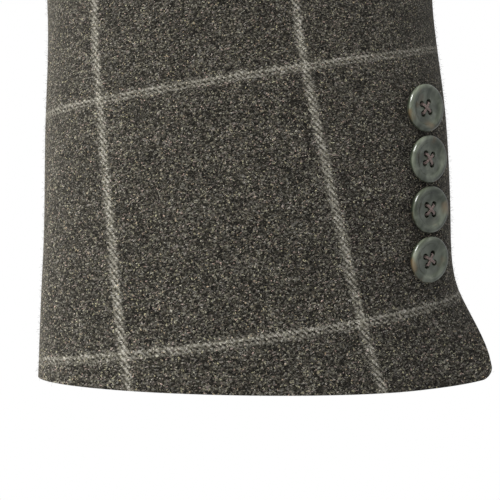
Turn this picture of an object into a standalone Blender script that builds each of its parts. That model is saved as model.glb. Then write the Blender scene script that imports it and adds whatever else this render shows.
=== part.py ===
"""A single-breasted tweed overcoat, filled out as when it is worn, made of its cut pieces.

Metres, +Z up. The wearer faces -Y, so the wearer's left is +X. The origin is where the shoulders
hold the coat up: the middle of the neck opening, level with the tops of the shoulder seams.
Each piece is a wall of cloth on a form worked out from the sizes below.
"""
import math
from collections import namedtuple

import bmesh
import bpy
from mathutils import Matrix, Vector
from mathutils.bvhtree import BVHTree

# Cloth and seams
CLOTH = 0.0022
SEAM = 0.0003
SIDE_GAP = 0.0007        # where a seam runs along a bend
RIDGE_GAP = 0.0012       # at the shoulder seams, where the walls lean together
LAYER = 0.0036           # from a panel's face to the face of what lies on it

# Body: levels from the hem (0) to the underarm (1) and on to the shoulder seam (2)
BodyLevel = namedtuple("BodyLevel", "level height front_depth back_depth side")
BODY_LEVELS = (
    BodyLevel(0.00, -1.030, 0.150, 0.150, 0.262),    # hem
    BodyLevel(0.25, -0.840, 0.140, 0.140, 0.249),    # skirt
    BodyLevel(0.50, -0.650, 0.130, 0.128, 0.232),    # hip
    BodyLevel(0.75, -0.450, 0.124, 0.100, 0.211),    # waist
    BodyLevel(1.00, -0.265, 0.138, 0.118, 0.222),    # underarm
    BodyLevel(1.25, -0.190, 0.137, 0.122, 0.222),    # chest
    BodyLevel(1.50, -0.105, 0.120, 0.116, 0.222),    # upper chest
    BodyLevel(1.75, -0.020, 0.084, 0.084, 0.222),    # collar bone
    BodyLevel(1.88, 0.020, 0.046, 0.046, 0.222),     # top of the shoulder
    BodyLevel(2.00, 0.033, 0.000, 0.000, 0.222),     # shoulder seam, run on to the middle
)
FULLNESS = 1.72          # of each quarter of a section; 1.66 is an ellipse
SHOULDER = Vector((0.225, 0.006, -0.055))
UNDERARM = Vector((0.222, 0.000, -0.265))
ARMHOLE_FRONT = 0.064
ARMHOLE_BACK = 0.088
ARMHOLE_DIP = 0.024

# Soft flutes of the skirt, deepest at the hem
Flute = namedtuple("Flute", "face place spread depth top")
FLUTES = (
    Flute(-1, 0.42, 0.10, 0.0050, 0.70),
    Flute(-1, 0.74, 0.12, 0.0080, 0.85),
    Flute(1, 0.30, 0.11, 0.0070, 0.80),
    Flute(1, 0.66, 0.12, 0.0085, 0.75),
)

# Front edge, roll line, lapel and collar
LAP = 0.030              # each front runs this far past the middle
BREAK_HEIGHT = -0.400    # where the lapel starts to roll
CROSSING_HEIGHT = -0.290    # above it the two roll lines are apart
LAP_LIFT = 0.0030        # the left front over the right one
LAPEL_LIFT = 0.0078      # and over the foot of the right lapel
NECK_HALF = 0.085
BACK_NECK_HEIGHT = -0.018
GORGE_FOOT = Vector((0.072, 0.0, -0.048))
NOTCH_TIP = Vector((0.150, 0.0, -0.112))
LAPEL_BELLY = 0.010
LAPEL_ROWS = 13
COLLAR_LAYER = 0.0030
FOOT_GAP = 0.0009         # the collar's foot above the neckline
FOLD_OUT = 0.0036         # how far the lapel's fold stands past the front's edge

# Sleeve: hem, axis and rings
CUFF = Vector((0.435, -0.025, -0.653))
CUFF_AXIS = Vector((-0.290, 0.120, 0.950)).normalized()
BROAD_SIDE = math.radians(-58.0)     # the way the cuff's broad side faces, seen from above, from +X
BICEPS = Vector((0.297, 0.008, -0.285))
BICEPS_AXIS = Vector((-0.370, 0.030, 0.930)).normalized()
BICEPS_SIDE = math.radians(10.0)
Ring = namedtuple("Ring", "rise half_width half_depth front_shift")
RINGS = (
    Ring(0.000, 0.0690, 0.0265, 0.0025),     # hem
    Ring(0.025, 0.0685, 0.0280, 0.0020),
    Ring(0.050, 0.0680, 0.0300, 0.0010),
    Ring(0.085, 0.0665, 0.0330, 0.0010),
    Ring(0.125, 0.0632, 0.0365, 0.0015),
    Ring(0.200, 0.0636, 0.0480, 0.0000),     # below the elbow
    Ring(0.290, 0.0680, 0.0620, 0.0000),     # above it
    Ring(0.396, 0.0700, 0.0720, 0.0000),     # biceps
)
SLEEVE_RISE = RINGS[-1].rise
FORE_SEAM = math.radians(-118.0)     # round the ring from the middle of the broad side
HIND_SEAM = math.radians(98.0)
VENT_TOP = 0.104
UNDERLAP = math.radians(40.0)        # the under sleeve's run under the vent's edge
SEAM_ALLOWANCE = math.radians(4.0)
BUTTON_LINE = math.radians(57.5)
FLARE = 0.0160                       # the vent's lower corner stands away by this
CORNER_LIFT = 0.0022                 # and is drawn up by this
FLARE_TOP = 0.052
CORNER = 0.0030

# Buttons
Button = namedtuple("Button", "radius height rim dish hole spread")
CUFF_BUTTON = Button(0.0075, 0.0030, 0.0014, 0.0008, 0.00095, 0.0021)
FRONT_BUTTON = Button(0.0140, 0.0042, 0.0026, 0.0012, 0.00130, 0.0032)
CUFF_BUTTON_RISES = (0.0890, 0.0734, 0.0578, 0.0422)
FRONT_BUTTON_HEIGHTS = (-0.420, -0.540, -0.660)
SHANK = 0.0005           # a button stands this far off the cloth

TWEED = (0.085, 0.078, 0.064)
HORN = (0.105, 0.115, 0.092)


def new_collection(name):
    collection = bpy.data.collections.new(name)
    bpy.context.scene.collection.children.link(collection)
    return collection


def new_material(name, colour, roughness):
    material = bpy.data.materials.new(name)
    material.use_nodes = True
    shader = material.node_tree.nodes["Principled BSDF"]
    shader.inputs["Base Color"].default_value = (*colour, 1.0)
    shader.inputs["Roughness"].default_value = roughness
    shader.inputs["Metallic"].default_value = 0.0
    return material


def smooth(value):
    value = min(max(value, 0.0), 1.0)
    return value * value * (3.0 - 2.0 * value)


def read_table(table, column, at):
    """One column of a table at a place in its first column, on a smooth curve through the rows."""
    places = [row[0] for row in table]
    values = [getattr(row, column) for row in table]
    at = min(max(at, places[0]), places[-1])
    i = max(k for k in range(len(places) - 1) if places[k] <= at)

    def slope(k):
        low = max(k - 1, 0)
        high = min(k + 1, len(places) - 1)
        return (values[high] - values[low]) / (places[high] - places[low])

    span = places[i + 1] - places[i]
    t = (at - places[i]) / span
    return hermite(values[i], slope(i) * span, values[i + 1], slope(i + 1) * span, t)


def hermite(start, leaving, end, arriving, t):
    return (
        start * (2 * t ** 3 - 3 * t ** 2 + 1)
        + leaving * (t ** 3 - 2 * t ** 2 + t)
        + end * (3 * t ** 2 - 2 * t ** 3)
        + arriving * (t ** 3 - t ** 2)
    )


def armhole(turn):
    """The armhole's ring; turn is 0 at the shoulder seam and grows over the front to the underarm."""
    high = (1.0 + math.cos(turn)) / 2.0
    point = UNDERARM.lerp(SHOULDER, high)
    point.z = UNDERARM.z + (SHOULDER.z - UNDERARM.z) * high
    reach = ARMHOLE_FRONT if math.sin(turn) > 0.0 else ARMHOLE_BACK
    point.y -= reach * math.sin(turn)
    point.x -= ARMHOLE_DIP * math.sin(turn) ** 2
    return point


def body_point(face, across, level):
    """The coat's body: face -1 front or +1 back, across 0 middle to 1 side seam or armhole."""
    height = read_table(BODY_LEVELS, "height", level)
    depth = read_table(BODY_LEVELS, "front_depth" if face < 0 else "back_depth", level)
    side = read_table(BODY_LEVELS, "side", level)
    middle = Vector((0.0, face * depth, height))
    if level <= 1.0:
        end = Vector((side, 0.0, height))
    else:
        end = armhole(-face * math.pi * (2.0 - level))
    straight = smooth(level - 1.0)
    leaving = Vector((FULLNESS * end.x, 0.0, 0.0)).lerp(end - middle, straight)
    arriving = Vector((0.0, -face * FULLNESS * depth, 0.0)).lerp(end - middle, straight)
    point = hermite(middle, leaving, end, arriving, abs(across))
    for flute in FLUTES:
        if flute.face == face and level < flute.top:
            away = (abs(across) - flute.place) / flute.spread
            swell = flute.depth * math.exp(-away * away) * (1.0 - level / flute.top) ** 1.5
            point += Vector((point.x, point.y, 0.0)).normalized() * swell
    if across < 0.0:
        point.x = -point.x
    return point


def find_across(face, level, edge):
    """How far across the body's surface meets the line x = edge(height)."""
    low, high = -0.4, 1.0
    for _ in range(40):
        mid = (low + high) / 2.0
        point = body_point(face, mid, level)
        if point.x < edge(point.z):
            low = mid
        else:
            high = mid
    return (low + high) / 2.0


def front_edge(height):
    """The left front's edge up to the break, then its roll line up to the neck."""
    rise = max(height - BREAK_HEIGHT, 0.0) / -BREAK_HEIGHT
    return -LAP + (LAP + NECK_HALF) * min(rise, 1.0)


def neck_edge(height):
    """The back neckline, nearly level behind and rising to the shoulder seams."""
    rise = (height - BACK_NECK_HEIGHT) / -BACK_NECK_HEIGHT
    return NECK_HALF * math.sqrt(min(max(rise, 0.0), 1.0))


def lap_lift(point):
    """How far the left front is moved out where it laps over the right one."""
    near = 1.0 - smooth((point.x - 1.5 * LAP) / (2.0 * LAP))
    up = smooth((point.z - BREAK_HEIGHT + 0.065) / 0.035)
    apart = 1.0 - smooth((point.z - CROSSING_HEIGHT) / 0.10)
    return near * apart * (LAP_LIFT + (LAPEL_LIFT - LAP_LIFT) * up)


def mirrored(rows):
    return [[Vector((-point.x, point.y, point.z)) for point in row][::-1] for row in rows]


def wall(name, rows, material, collection, thickness=CLOTH):
    """A wall of cloth: a sheet through the rows, thickened inwards."""
    mesh = bpy.data.meshes.new(name)
    sheet = bmesh.new()
    grid = [[sheet.verts.new(point) for point in row] for row in rows]
    for low, high in zip(grid, grid[1:]):
        for k in range(len(low) - 1):
            sheet.faces.new((low[k], low[k + 1], high[k + 1], high[k]))
    sheet.to_mesh(mesh)
    sheet.free()
    mesh.shade_smooth()
    mesh.materials.append(material)
    piece = bpy.data.objects.new(name, mesh)
    collection.objects.link(piece)
    solidify = piece.modifiers.new("Wall", "SOLIDIFY")
    solidify.thickness = thickness
    solidify.offset = -1.0
    solidify.use_even_offset = True
    return piece


def crowded(value):
    """An even run of columns, drawn closer together towards the side seam."""
    return 1.0 - (1.0 - value) ** 1.4


def front_rows(left):
    """The front from its hem to the shoulder seam, its inner edge on the front edge and roll line."""
    rows = []
    levels = [k / 9.0 for k in range(10)] + [1.0 + k / 7.0 for k in range(1, 8)]
    for level in levels:
        start = find_across(-1, level, front_edge)
        row = []
        for k in range(12):
            across = start + (1.0 - start) * crowded(k / 11.0)
            point = body_point(-1, across, level)
            if left:
                point.y -= lap_lift(point)
            if k == 11:
                point = seam_back(row[-1], point, SIDE_GAP)
            row.append(point)
        rows.append(row)
    rows[-1] = [seam_back(low, point, RIDGE_GAP) for low, point in zip(rows[-2], rows[-1])]
    return rows


def back_rows():
    """Half the back from its hem to the shoulder seam, between the centre seam and the side."""
    rows = []
    levels = [k / 9.0 for k in range(10)]
    levels += [1.0 + k / 6.0 for k in range(1, 6)] + [1.93, 2.0]
    for level in levels:
        start = find_across(1, level, neck_edge) if level > 1.0 else 0.0
        row = [body_point(1, start + (1.0 - start) * crowded(k / 8.0), level) for k in range(9)]
        row[0] = seam_back(row[1], row[0])
        row[-1] = seam_back(row[-2], row[-1], SIDE_GAP)
        rows.append(row)
    rows[-1] = [seam_back(low, point, RIDGE_GAP) for low, point in zip(rows[-2], rows[-1])]
    return [row[::-1] for row in rows]


def seam_back(inner, edge, gap=SEAM):
    """An edge point drawn back towards its piece, to leave the seam's gap."""
    return edge + (inner - edge).normalized() * gap


def tree_of(*sheets):
    """The faces of some sheets, to find places on them."""
    corners = []
    faces = []
    for rows in sheets:
        for low, high in zip(rows, rows[1:]):
            for k in range(len(low) - 1):
                base = len(corners)
                corners += [low[k], low[k + 1], high[k + 1], high[k]]
                faces.append((base, base + 1, base + 2, base + 3))
    return BVHTree.FromPolygons(corners, faces)


def front_form(left):
    """The front's face run on past its edge and roll line, as the lapel's bed."""
    rows = []
    for step in range(33):
        row = [body_point(-1, -0.25 + 1.25 * k / 24.0, step / 16.0) for k in range(25)]
        if left:
            for point in row:
                point.y -= lap_lift(point)
        rows.append(row)
    return rows


def in_front(tree, x, z):
    """The point of a front's face straight behind the place (x, z), and its normal."""
    hit, normal, _, _ = tree.ray_cast(Vector((x, -0.5, z)), Vector((0.0, 1.0, 0.0)))
    return hit, normal if normal.y < 0.0 else -normal


def sleeve_frame(rise):
    """Middle, sideways, outward and upward directions of the sleeve's ring at a rise above its hem."""
    t = rise / SLEEVE_RISE
    reach = (BICEPS - CUFF).length
    middle = hermite(CUFF, CUFF_AXIS * reach, BICEPS, BICEPS_AXIS * reach, t)
    step = 0.001
    ahead = hermite(CUFF, CUFF_AXIS * reach, BICEPS, BICEPS_AXIS * reach, min(t + step, 1.0))
    behind = hermite(CUFF, CUFF_AXIS * reach, BICEPS, BICEPS_AXIS * reach, max(t - step, 0.0))
    up = (ahead - behind).normalized()
    turn = BROAD_SIDE + (BICEPS_SIDE - BROAD_SIDE) * smooth((rise - 0.10) / (SLEEVE_RISE - 0.10))
    facing = Vector((math.cos(turn), math.sin(turn), 0.0))
    facing = (facing - up * facing.dot(up)).normalized()
    return middle, up.cross(facing), facing, up


def ring_point(rise, turn, inset=0.0):
    """The sleeve's ring: turn 0 on the broad side, positive towards the hind seam."""
    middle, sideways, facing, _ = sleeve_frame(rise)
    width = read_table(RINGS, "half_width", rise) - inset
    depth = read_table(RINGS, "half_depth", rise) - inset
    shift = read_table(RINGS, "front_shift", rise)
    return middle + sideways * (width * math.sin(turn) - shift) + facing * depth * math.cos(turn)


def flare_at(rise):
    return FLARE * (1.0 - smooth(rise / FLARE_TOP)) ** 1.35


def top_point(rise, turn, inset=0.0):
    """The top sleeve's face: the ring, with the open vent's free edge standing away near the hem."""
    point = ring_point(rise, turn, inset)
    past = (turn - BUTTON_LINE) / (HIND_SEAM - BUTTON_LINE)
    if past > 0.0:
        _, sideways, facing, up = sleeve_frame(rise)
        flare = flare_at(rise)
        point += sideways * flare * past ** 1.6
        point += facing * flare * 0.35 * past ** 2
        point += up * CORNER_LIFT * flare / FLARE * past ** 2
    return point


def cap_point(turn, t):
    """From the biceps ring (t = 0) up to the armhole's ring (t = 1)."""
    low = ring_point(SLEEVE_RISE, turn)
    high = armhole(-turn) + Vector((0.0010, 0.0, 0.0))
    below = ring_point(SLEEVE_RISE - 0.01, turn)
    reach = (high - low).length
    top = (1.0 + math.cos(turn)) / 2.0
    inward = Vector((-0.95, 0.25 * math.sin(-turn), 0.10 - 0.05 * top + 0.50 * (1.0 - top) ** 2))
    leaving = (low - below).normalized() * reach * (0.75 + 0.35 * top)
    return hermite(low, leaving, high, inward.normalized() * reach * (0.55 + 0.25 * top), t)


RISES = (0.0, CORNER, 0.012, 0.022, 0.034, 0.050, 0.072, 0.098, 0.125, 0.165, 0.210, 0.255, 0.300,
         0.348, SLEEVE_RISE)
# Columns round the ring, in degrees; the last of the under sleeve meets the fore seam
TOP_TURNS = (-118.0, -114.0, -105.0, -96.0, -87.0, -76.0, -60.0, -38.0, -13.0, 13.0, 36.0, 52.0, 62.0,
             74.0, 84.0, 92.0, 98.0)
UNDER_TURNS = (100.5, 104.0, 118.0, 145.0, 180.0, 208.0, 224.0, 234.0, 238.0, 241.2)
INSIDE = CLOTH + 0.0012
CAP_STEPS = (0.22, 0.42, 0.60, 0.76, 0.89, 1.0)


def top_sleeve_rows():
    """The top sleeve from the cuff's hem to the armhole, between its two seams."""
    turns = [math.radians(turn) for turn in TOP_TURNS]
    rows = [[top_point(rise, turn) for turn in turns] for rise in RISES]
    inward = (rows[0][-2] - rows[0][-1]).normalized()
    rows[0][-1] += (inward + CUFF_AXIS) * CORNER * 0.3
    rows += [[cap_point(turn, t) for turn in turns] for t in CAP_STEPS]
    return rows


def under_sleeve_rows():
    """The under sleeve, with the vent's underlap and, above it, its seam allowance."""
    turns = [math.radians(turn) for turn in UNDER_TURNS]
    rows = []
    for rise in RISES:
        open_vent = 1.0 - smooth((rise - VENT_TOP) / 0.02)
        lap = SEAM_ALLOWANCE + (UNDERLAP - SEAM_ALLOWANCE) * open_vent
        row = [ring_point(rise, HIND_SEAM - lap * (1.0 - k / 4.0), INSIDE) for k in range(4)]
        row.append(ring_point(rise, turns[0], INSIDE))
        row += [ring_point(rise, turn) for turn in turns[1:]]
        rows.append(row)
    for t in CAP_STEPS:
        row = [inside_cap(HIND_SEAM - SEAM_ALLOWANCE * (1.0 - k / 4.0), t) for k in range(4)]
        row.append(inside_cap(turns[0], t))
        row += [cap_point(turn, t) for turn in turns[1:]]
        rows.append(row)
    return rows


def inside_cap(turn, t):
    """A point just inside the cap's face, under the top sleeve's edge."""
    point = cap_point(turn, t)
    middle = BICEPS.lerp((SHOULDER + UNDERARM) / 2.0, t)
    away = point - middle
    return point - away.normalized() * INSIDE * 1.1


def button(name, size, place, axis, spin, material, collection, cutters):
    """A four-hole button turned from its profile, its holes cut through."""
    r, h = size.radius, size.height
    profile = (
        (0.0, h - size.dish),
        (r - size.rim, h - size.dish),
        (r - size.rim * 0.4, h),
        (r, h * 0.65),
        (r * 0.88, 0.0),
        (0.0, 0.0),
    )
    mesh = bpy.data.meshes.new(name)
    mesh.from_pydata([(x, 0.0, z) for x, z in profile], [(k, k + 1) for k in range(len(profile) - 1)], [])
    piece = bpy.data.objects.new(name, mesh)
    collection.objects.link(piece)
    mesh.materials.append(material)
    screw = piece.modifiers.new("Turn", "SCREW")
    screw.steps = 14
    screw.render_steps = 14
    screw.use_merge_vertices = True
    screw.merge_threshold = 0.00001
    for k in range(4):
        turn = math.pi / 4.0 + k * math.pi / 2.0
        bpy.ops.mesh.primitive_cylinder_add(
            vertices=6, radius=size.hole, depth=3.0 * h,
            location=(size.spread * math.cos(turn), size.spread * math.sin(turn), h / 2.0),
        )
        drill = bpy.context.object
        drill.name = f"{name}_hole_{k + 1}"
        for held in list(drill.users_collection):
            held.objects.unlink(drill)
        cutters.objects.link(drill)
        drill.display_type = "WIRE"
        drill.hide_render = True
        drill.parent = piece
        cut = piece.modifiers.new(f"Hole {k + 1}", "BOOLEAN")
        cut.operation = "DIFFERENCE"
        cut.object = drill
    turned = axis.to_track_quat("Z", "Y").to_matrix().to_4x4()
    piece.matrix_world = Matrix.Translation(place) @ turned @ Matrix.Rotation(spin, 4, "Z")
    return piece


def cuff_button_place(rise):
    """A cuff button's foot on the top sleeve, and the way it faces."""
    step = 0.02
    point = top_point(rise, BUTTON_LINE)
    along = top_point(rise + 0.002, BUTTON_LINE) - top_point(rise - 0.002, BUTTON_LINE)
    round_ring = top_point(rise, BUTTON_LINE + step) - top_point(rise, BUTTON_LINE - step)
    normal = round_ring.cross(along).normalized()
    return point + normal * SHANK, normal


def front_button_place(tree, height):
    """A front button's foot on the left front, on the coat's middle line."""
    hit, normal = in_front(tree, 0.0, height)
    return hit + normal * SHANK, normal


def lapel_rows(tree):
    """The turned lapel on its front, from the break up to the gorge, its fold round the front's edge."""
    rows = []
    for k in range(LAPEL_ROWS):
        t = 0.10 + 0.90 * k / (LAPEL_ROWS - 1)
        roll_z = BREAK_HEIGHT + (GORGE_FOOT.z - BREAK_HEIGHT) * t
        roll_x = front_edge(roll_z)
        tip_x = -LAP + (NOTCH_TIP.x + LAP) * t + LAPEL_BELLY * math.sin(math.pi * t)
        tip_z = BREAK_HEIGHT + (NOTCH_TIP.z - BREAK_HEIGHT) * t
        edge, normal = in_front(tree, roll_x, roll_z)
        above, _ = in_front(tree, front_edge(roll_z + 0.01), roll_z + 0.01)
        aside = normal.cross(above - edge).normalized()
        if aside.x > 0.0:
            aside = -aside
        row = [edge + aside * FOLD_OUT - normal * CLOTH * 0.6, edge + aside * FOLD_OUT + normal * CLOTH]
        for w in (0.0, 0.10, 0.28, 0.50, 0.75, 1.0):
            spot = Vector((roll_x + (tip_x - roll_x) * w, 0.0, roll_z + (tip_z - roll_z) * w))
            hit, normal = in_front(tree, spot.x, spot.z)
            row.append(hit + normal * LAYER)
        rows.append(row)
    return rows


# Collar: half of it, from its front end at the gorge to the centre back
CollarStation = namedtuple("CollarStation", "place neck_x neck_y neck_z stand edge_x edge_y edge_z")
COLLAR_STATIONS = (
    CollarStation(0.00, 0.0700, -0.0560, -0.0420, 0.004, 0.1280, -0.0800, -0.0600),    # gorge
    CollarStation(0.25, 0.0790, -0.0270, -0.0120, 0.019, 0.1370, -0.0450, -0.0300),
    CollarStation(0.50, 0.0820, 0.0100, 0.0000, 0.029, 0.1370, 0.0150, -0.0050),       # shoulder
    CollarStation(0.75, 0.0560, 0.0640, -0.0060, 0.037, 0.0980, 0.1000, -0.0330),
    CollarStation(1.00, 0.0000, 0.0800, -0.0130, 0.042, 0.0000, 0.1240, -0.0440),      # centre back
)


def collar_rows(tree):
    """The collar: its stand up from the neckline, the fold, and the fall down over the shoulders."""
    half = []
    for k in range(13):
        place = k / 12.0
        neck = Vector(read_table(COLLAR_STATIONS, f"neck_{axis}", place) for axis in "xyz")
        edge = Vector(read_table(COLLAR_STATIONS, f"edge_{axis}", place) for axis in "xyz")
        stand = read_table(COLLAR_STATIONS, "stand", place)
        foot = tree.find_nearest(neck)[0] + Vector((0.0, 0.0, FOOT_GAP))
        outward = Vector((edge.x - neck.x, edge.y - neck.y, 0.0)).normalized()
        foot -= outward * FOOT_GAP
        fold = foot + Vector((0.0, 0.0, stand)) - outward * 0.12 * stand
        row = [foot, foot.lerp(fold, 0.6), fold, fold + outward * 0.0040 + Vector((0.0, 0.0, 0.0022))]
        start = fold + outward * 0.0085
        row += [start.lerp(edge, w) for w in (0.0, 0.3, 0.65, 1.0)]
        first = 0 if place < 0.35 else 4
        half.append(row[:first] + [clear_of(tree, spot, COLLAR_LAYER) for spot in row[first:]])
    other = [[Vector((-spot.x, spot.y, spot.z)) for spot in row] for row in half[:-1]]
    return other + half[::-1]


def clear_of(tree, point, clearance):
    """The point, moved out until it is clear of the faces below it."""
    near, normal, _, _ = tree.find_nearest(point)
    middle = Vector((0.0, 0.0, near.z - 0.15))
    if normal.dot(near - middle) < 0.0:
        normal = -normal
    above = (point - near).dot(normal)
    if above < clearance:
        point = point + normal * (clearance - above)
    return point


def build():
    for old in list(bpy.data.objects):
        bpy.data.objects.remove(old, do_unlink=True)
    parts = new_collection("overcoat")
    cutters = new_collection("cutters")
    tweed = new_material("tweed", TWEED, 0.95)
    horn = new_material("horn", HORN, 0.35)

    left_front = front_rows(True)
    right_front = front_rows(False)
    left_bed = tree_of(front_form(True))
    right_bed = tree_of(front_form(False))
    wall("front_left", left_front, tweed, parts)
    wall("front_right", mirrored(right_front), tweed, parts)
    back = back_rows()
    wall("back_left", back, tweed, parts)
    wall("back_right", mirrored(back), tweed, parts)
    body = tree_of(left_front, mirrored(right_front), back, mirrored(back))
    wall("lapel_left", lapel_rows(left_bed), tweed, parts)
    wall("lapel_right", mirrored(lapel_rows(right_bed)), tweed, parts)
    wall("collar", collar_rows(body), tweed, parts)
    for side in ("left", "right"):
        top = top_sleeve_rows()
        under = under_sleeve_rows()
        wall(f"top_sleeve_{side}", top if side == "left" else mirrored(top), tweed, parts)
        wall(f"under_sleeve_{side}", under if side == "left" else mirrored(under), tweed, parts)
        for k, rise in enumerate(CUFF_BUTTON_RISES):
            place, axis = cuff_button_place(rise)
            if side == "right":
                place.x = -place.x
                axis.x = -axis.x
            name = f"cuff_button_{side}_{k + 1}"
            button(name, CUFF_BUTTON, place, axis, 0.0, horn, parts, cutters)
    for k, height in enumerate(FRONT_BUTTON_HEIGHTS):
        place, axis = front_button_place(tree_of(left_front), height)
        button(f"front_button_{k + 1}", FRONT_BUTTON, place, axis, 0.0, horn, parts, cutters)


build()
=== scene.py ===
import math
from collections import namedtuple
from functools import partial

import bpy
from mathutils import Matrix, Vector
from mathutils.bvhtree import BVHTree


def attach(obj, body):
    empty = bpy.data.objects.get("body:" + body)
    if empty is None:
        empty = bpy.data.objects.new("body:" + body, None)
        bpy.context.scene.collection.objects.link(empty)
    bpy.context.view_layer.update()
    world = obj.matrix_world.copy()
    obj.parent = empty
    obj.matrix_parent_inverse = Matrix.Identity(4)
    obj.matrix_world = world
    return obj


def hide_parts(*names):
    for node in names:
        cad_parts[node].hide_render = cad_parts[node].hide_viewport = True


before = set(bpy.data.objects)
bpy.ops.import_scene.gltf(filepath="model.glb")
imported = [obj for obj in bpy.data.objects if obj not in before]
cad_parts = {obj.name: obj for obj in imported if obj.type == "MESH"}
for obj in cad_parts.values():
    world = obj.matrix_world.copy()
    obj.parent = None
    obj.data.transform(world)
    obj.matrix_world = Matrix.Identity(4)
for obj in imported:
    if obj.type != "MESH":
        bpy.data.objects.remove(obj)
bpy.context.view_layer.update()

# ---------------------------------------------------------------------------------------------
# The back: two halves of heavy woollen twill with a centre seam, cut full in the skirt so that it
# hangs in flutes. The seam allowances are pressed open behind the centre and the side seams.
# Sizes are in metres, with +Z up and the wearer facing -Y; only the cloth's pattern is in mm.

CLOTH = 0.0022
CUT_EDGE = 0.0007
EDGE_LIMIT = math.radians(55.0)
MATHS = "ShaderNodeMath"
VECTORS = "ShaderNodeVectorMath"
NOISE = "ShaderNodeTexNoise"
RAMP = "ShaderNodeValToRGB"
RANGE = "ShaderNodeMapRange"
MIX = "ShaderNodeMix"


def linear(code):
    """An sRGB hex colour as linear light."""
    channels = [int(code[k:k + 2], 16) / 255.0 for k in (0, 2, 4)]
    return [c / 12.92 if c <= 0.04045 else ((c + 0.055) / 1.055) ** 2.4 for c in channels] + [1.0]


def set_inputs(tree, made, inputs):
    """A node's inputs, by name or by place, set to values or linked to sockets."""
    for place, value in (inputs if isinstance(inputs, dict) else dict(enumerate(inputs))).items():
        if isinstance(value, bpy.types.NodeSocket):
            tree.links.new(value, made.inputs[place])
        else:
            made.inputs[place].default_value = value


def add_node(tree, kind, inputs=(), out=0, stops=(), **settings):
    """A node with its settings, links and colour stops, given back as one of its outputs."""
    made = tree.nodes.new(kind)
    for name, value in settings.items():
        setattr(made, name, value)
    set_inputs(tree, made, inputs)
    for k, (place, colour) in enumerate(stops):
        elements = made.color_ramp.elements
        element = elements[k] if k < len(elements) else elements.new(1.0)
        element.position = place
        element.color = linear(colour)
    return made.outputs[out]


def new_material(name, finish):
    material = bpy.data.materials.new(name)
    material.use_nodes = True
    shader = material.node_tree.nodes["Principled BSDF"]
    set_inputs(material.node_tree, shader, finish)
    return material, material.node_tree, shader


# The tweed is woven from black, olive, plum and cream yarns, then fulled and raised to a short nap,
# so it is flecked, soft and matt, with a pale sheen at a slant. Thicker light yarns make its
# windowpane check. The pattern's sizes are in mm on the piece's own cut.
PANE_WIDTH = 73.0
PANE_HEIGHT = 84.0
UPRIGHT_LINE = (0.4, 2.1)     # from a line's middle: whole as far as the first, gone at the second
LEVEL_LINE = (0.5, 2.1)
LEVEL_SHARE = 0.8
LINE_FRAY = 4.2
DASH_SLANT = 1.5
DASH_LENGTH = 2.5
ROW_LENGTH = 1.75
BEAD_LENGTH = 2.0 * math.pi / 3.7
TWILL_LENGTH = 2.0 * math.pi / 4.6
CROSSING_MOST = 1.25
CHECK_SHARE = 0.56
FLECKS_PER_MM = (2.1, 3.3, 1.0)
FLECK_LEAN = math.radians(-52.0)
WANDER_PER_MM = 0.9
WANDER = 0.9
FIBRES_PER_MM = 3.3
CLOUDS_PER_MM = 0.11
GRAIN_TO_MM = 1000.0


def wave(node, run, length):
    """Up and down once in each length."""
    turns = node(MATHS, (run, 2.0 * math.pi / length), operation="MULTIPLY")
    return node(MATHS, (turns,), operation="SINE")


def line(node, run, spacing, fray, ends):
    """The check's lines across this run: 1 on a line and 0 off it, with frayed sides."""
    turns = node(MATHS, (run, spacing), operation="DIVIDE")
    nearest = node(MATHS, (turns,), operation="ROUND")
    off = node(MATHS, (turns, nearest), operation="SUBTRACT")
    off = node(MATHS, (off,), operation="ABSOLUTE")
    off = node(MATHS, (off, spacing, fray), operation="MULTIPLY_ADD")
    return node(RANGE, (off, *ends, 1.0, 0.0), interpolation_type="SMOOTHSTEP")


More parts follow.
